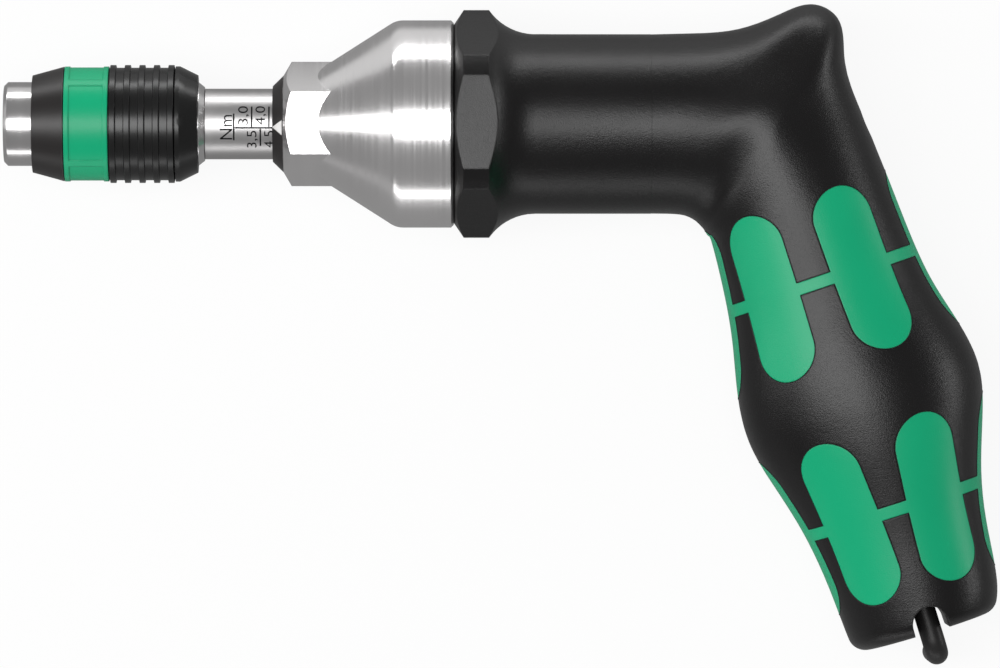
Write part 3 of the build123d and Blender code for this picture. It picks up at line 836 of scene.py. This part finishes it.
def add_spring(node_name, start_x, end_x, mean_radius, wire, turns):
    """A spring of square wire, built as fixed coils between the two bodies it pushes apart."""
    section = wire_section(wire)
    first_x = start_x + wire / 2 + spring_end_gap
    rise = end_x - start_x - wire - 2 * spring_end_gap
    steps = round(turns * spring_steps)
    shape = bmesh.new()
    rings = []
    for step in range(steps + 1):
        share = step / steps
        angle = math.pi / 2 + share * turns * math.tau
        ring = []
        for outward, along in section:
            radius = mean_radius + outward
            x = first_x + rise * share + along
            spot = (x, radius * math.cos(angle), radius * math.sin(angle))
            ring.append(shape.verts.new(spot))
        rings.append(ring)
    for ring, after in zip(rings, rings[1:]):
        for i in range(len(section)):
            j = (i + 1) % len(section)
            shape.faces.new((ring[i], ring[j], after[j], after[i]))
    shape.faces.new(rings[0])
    shape.faces.new(rings[-1])
    for face in shape.faces:
        face.smooth = len(face.verts) == 4
    spring = piece_from_bmesh(node_name + "_coils", shape, spring_wire)
    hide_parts(node_name)
    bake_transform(spring)


# Springs, built as fixed coils; in the tool they are pressed together as the tube is run out or
# the sleeve is slid
add_spring(
    "torque_spring",
    start_x=0.048,
    end_x=0.065,
    mean_radius=0.0069,
    wire=0.0023,
    turns=4.5,
)
add_spring(
    "sleeve_spring",
    start_x=0.0096,
    end_x=0.01555,
    mean_radius=0.00509,
    wire=0.0006,
    turns=3.5,
)


def border_edges(shape):
    """Sharp edges on the outside of a soft insert, in the mesh's own order."""
    axis = (grip_bottom - grip_top).normalized()
    border = {}
    for edge in shape.edges:
        if len(edge.link_faces) != 2 or edge.calc_face_angle() < seam_fold:
            continue
        middle = (edge.verts[0].co + edge.verts[1].co) / 2
        outward = middle - grip_top
        outward = (outward - axis * outward.dot(axis)).normalized()
        if max(face.normal.dot(outward) for face in edge.link_faces) > seam_outward_share:
            border[edge] = True
    return border


def seam_chains(node_name):
    """Outer borders of a soft insert, as lists of points in order."""
    shape = bmesh.new()
    shape.from_mesh(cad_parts[node_name].data)
    bmesh.ops.remove_doubles(shape, verts=shape.verts[:], dist=same_point)
    border = border_edges(shape)
    chains = []
    while border:
        edge = next(iter(border))
        del border[edge]
        chain = [edge.verts[0], edge.verts[1]]
        for grow in (True, False):
            while True:
                end = chain[-1] if grow else chain[0]
                step = next((other for other in end.link_edges if other in border), None)
                if step is None:
                    break
                del border[step]
                after = step.other_vert(end)
                chain = chain + [after] if grow else [after] + chain
        chains.append([vert.co.copy() for vert in chain])
    shape.free()
    return chains


def add_seam_shade(name, node_name):
    """A fine dark line along the border between a soft insert and the moulding: painted shade, a
    thin dark tube laid where the joint only lies in shade.
    """
    curve = bpy.data.curves.new(name, "CURVE")
    curve.dimensions = "3D"
    curve.bevel_depth = seam_radius
    curve.bevel_resolution = 1
    for chain in seam_chains(node_name):
        closed = (chain[0] - chain[-1]).length < 2 * same_point and len(chain) > 3
        points = chain[:-1] if closed else chain
        spline = curve.splines.new("POLY")
        spline.points.add(len(points) - 1)
        for point, spot in zip(spline.points, points):
            point.co = (*spot, 1.0)
        spline.use_cyclic_u = closed
    curve.materials.append(seam_shade_green)
    piece = add_object(name, curve)
    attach(piece, "handle")


# Lines of painted shade along the borders of both inserts
add_seam_shade("upper_insert_seam_shade", "grip_insert_upper")
add_seam_shade("lower_insert_seam_shade", "grip_insert_lower")


# Floor, light and camera


def paint_floor():
    """White to the camera, grey in reflections, and glowing lighter in reflections in strips out
    beside the object: a painted reflection that lays highlights on the metals.
    """
    material = bpy.data.materials.new("pale_floor")
    tree = empty_tree(material)
    seen = shader(tree, "LightPath").outputs
    mirrored = math_node(tree, "MAXIMUM", seen["Is Glossy Ray"], seen["Is Transmission Ray"])
    across = shader(tree, "SeparateXYZ", {"Vector": object_place(tree)}).outputs["Y"]
    # Strips of floor that glow brighter in reflections only: painted reflection on the metals
    upper_side = stretch(tree, across, *upper_reflection_glow)
    lower_side = stretch(tree, across, *lower_reflection_glow)
    level = math_node(tree, "MULTIPLY_ADD", upper_side, upper_reflection_glow_gain, floor_mirror)
    level = math_node(tree, "MULTIPLY_ADD", lower_side, lower_reflection_glow_gain, level)
    strength = blend_number(tree, mirrored, 1.0, level)
    paper = shader(tree, "BsdfDiffuse", {"Color": floor_paper})
    white = shader(tree, "Emission", {"Color": (1.0, 1.0, 1.0, 1.0), "Strength": strength})
    shown = math_node(tree, "MAXIMUM", seen["Is Camera Ray"], mirrored)
    share = math_node(tree, "MULTIPLY", shown, floor_white_share)
    mixed = shader(tree, "MixShader", {0: share, 1: paper.outputs[0], 2: white.outputs[0]})
    shader(tree, "OutputMaterial", {"Surface": mixed.outputs[0]})
    return material


def add_floor():
    """A pale floor just under the object, which keeps its shadow."""
    shape = bmesh.new()
    bmesh.ops.create_grid(shape, x_segments=2, y_segments=2, size=floor_half_size)
    mesh = bpy.data.meshes.new("floor")
    shape.to_mesh(mesh)
    shape.free()
    mesh.materials.append(paint_floor())
    floor = add_object("floor", mesh)
    floor.location = (*floor_middle, cad_box[0][2] - floor_drop)


def add_area_light(name, place_at, aim, width, height, power):
    data = bpy.data.lights.new(name, "AREA")
    data.shape = "RECTANGLE"
    data.size = width
    data.size_y = height
    data.energy = power
    lamp = add_object(name, data)
    lamp.location = place_at
    direction = Vector(aim) - Vector(place_at)
    lamp.rotation_euler = direction.to_track_quat("-Z", "Y").to_euler()


def add_world(level):
    """Even light from all round."""
    world = bpy.data.worlds.new("soft_room")
    tree = empty_tree(world)
    room = shader(tree, "Background", {"Color": (1.0, 1.0, 1.0, 1.0), "Strength": level})
    shader(tree, "OutputWorld", {"Surface": room.outputs[0]})
    bpy.context.scene.world = world


def add_camera():
    """A long lens straight above the object, with the photograph's framing."""
    data = bpy.data.cameras.new("photo_camera")
    data.sensor_width = sensor_width
    data.lens = sensor_width * camera_height / (image_width * pixel)
    data.clip_start = 0.05
    data.clip_end = 20.0
    camera = add_object("photo_camera", data)
    camera.location = (photo_x(image_width / 2), photo_y(image_height / 2), camera_height)
    bpy.context.scene.camera = camera


add_floor()
add_area_light(
    "overhead_light",
    place_at=(-0.36, -0.03, 0.95),
    aim=(-0.36, -0.03, 0.0),
    width=1.25,
    height=0.42,
    power=9.2,
)
add_area_light(
    "upper_side_light",
    place_at=(0.0645, 0.62, 0.050),
    aim=(0.0645, 0.0, 0.0),
    width=0.9,
    height=0.125,
    power=2.1,
)
add_area_light(
    "lower_side_light",
    place_at=(0.0645, -0.66, 0.050),
    aim=(0.0645, -0.02, 0.0),
    width=0.9,
    height=0.125,
    power=0.8,
)
add_area_light(
    "left_light",
    place_at=(-1.10, 0.0, 0.42),
    aim=(0.05, 0.0, 0.0),
    width=0.30,
    height=0.84,
    power=2.3,
)
add_area_light(
    "right_light",
    place_at=(1.20, 0.15, 0.08),
    aim=(0.11, 0.0, 0.0),
    width=0.60,
    height=0.18,
    power=1.8,
)
add_world(room_level)
add_camera()
bpy.context.scene.view_settings.view_transform = "Standard"
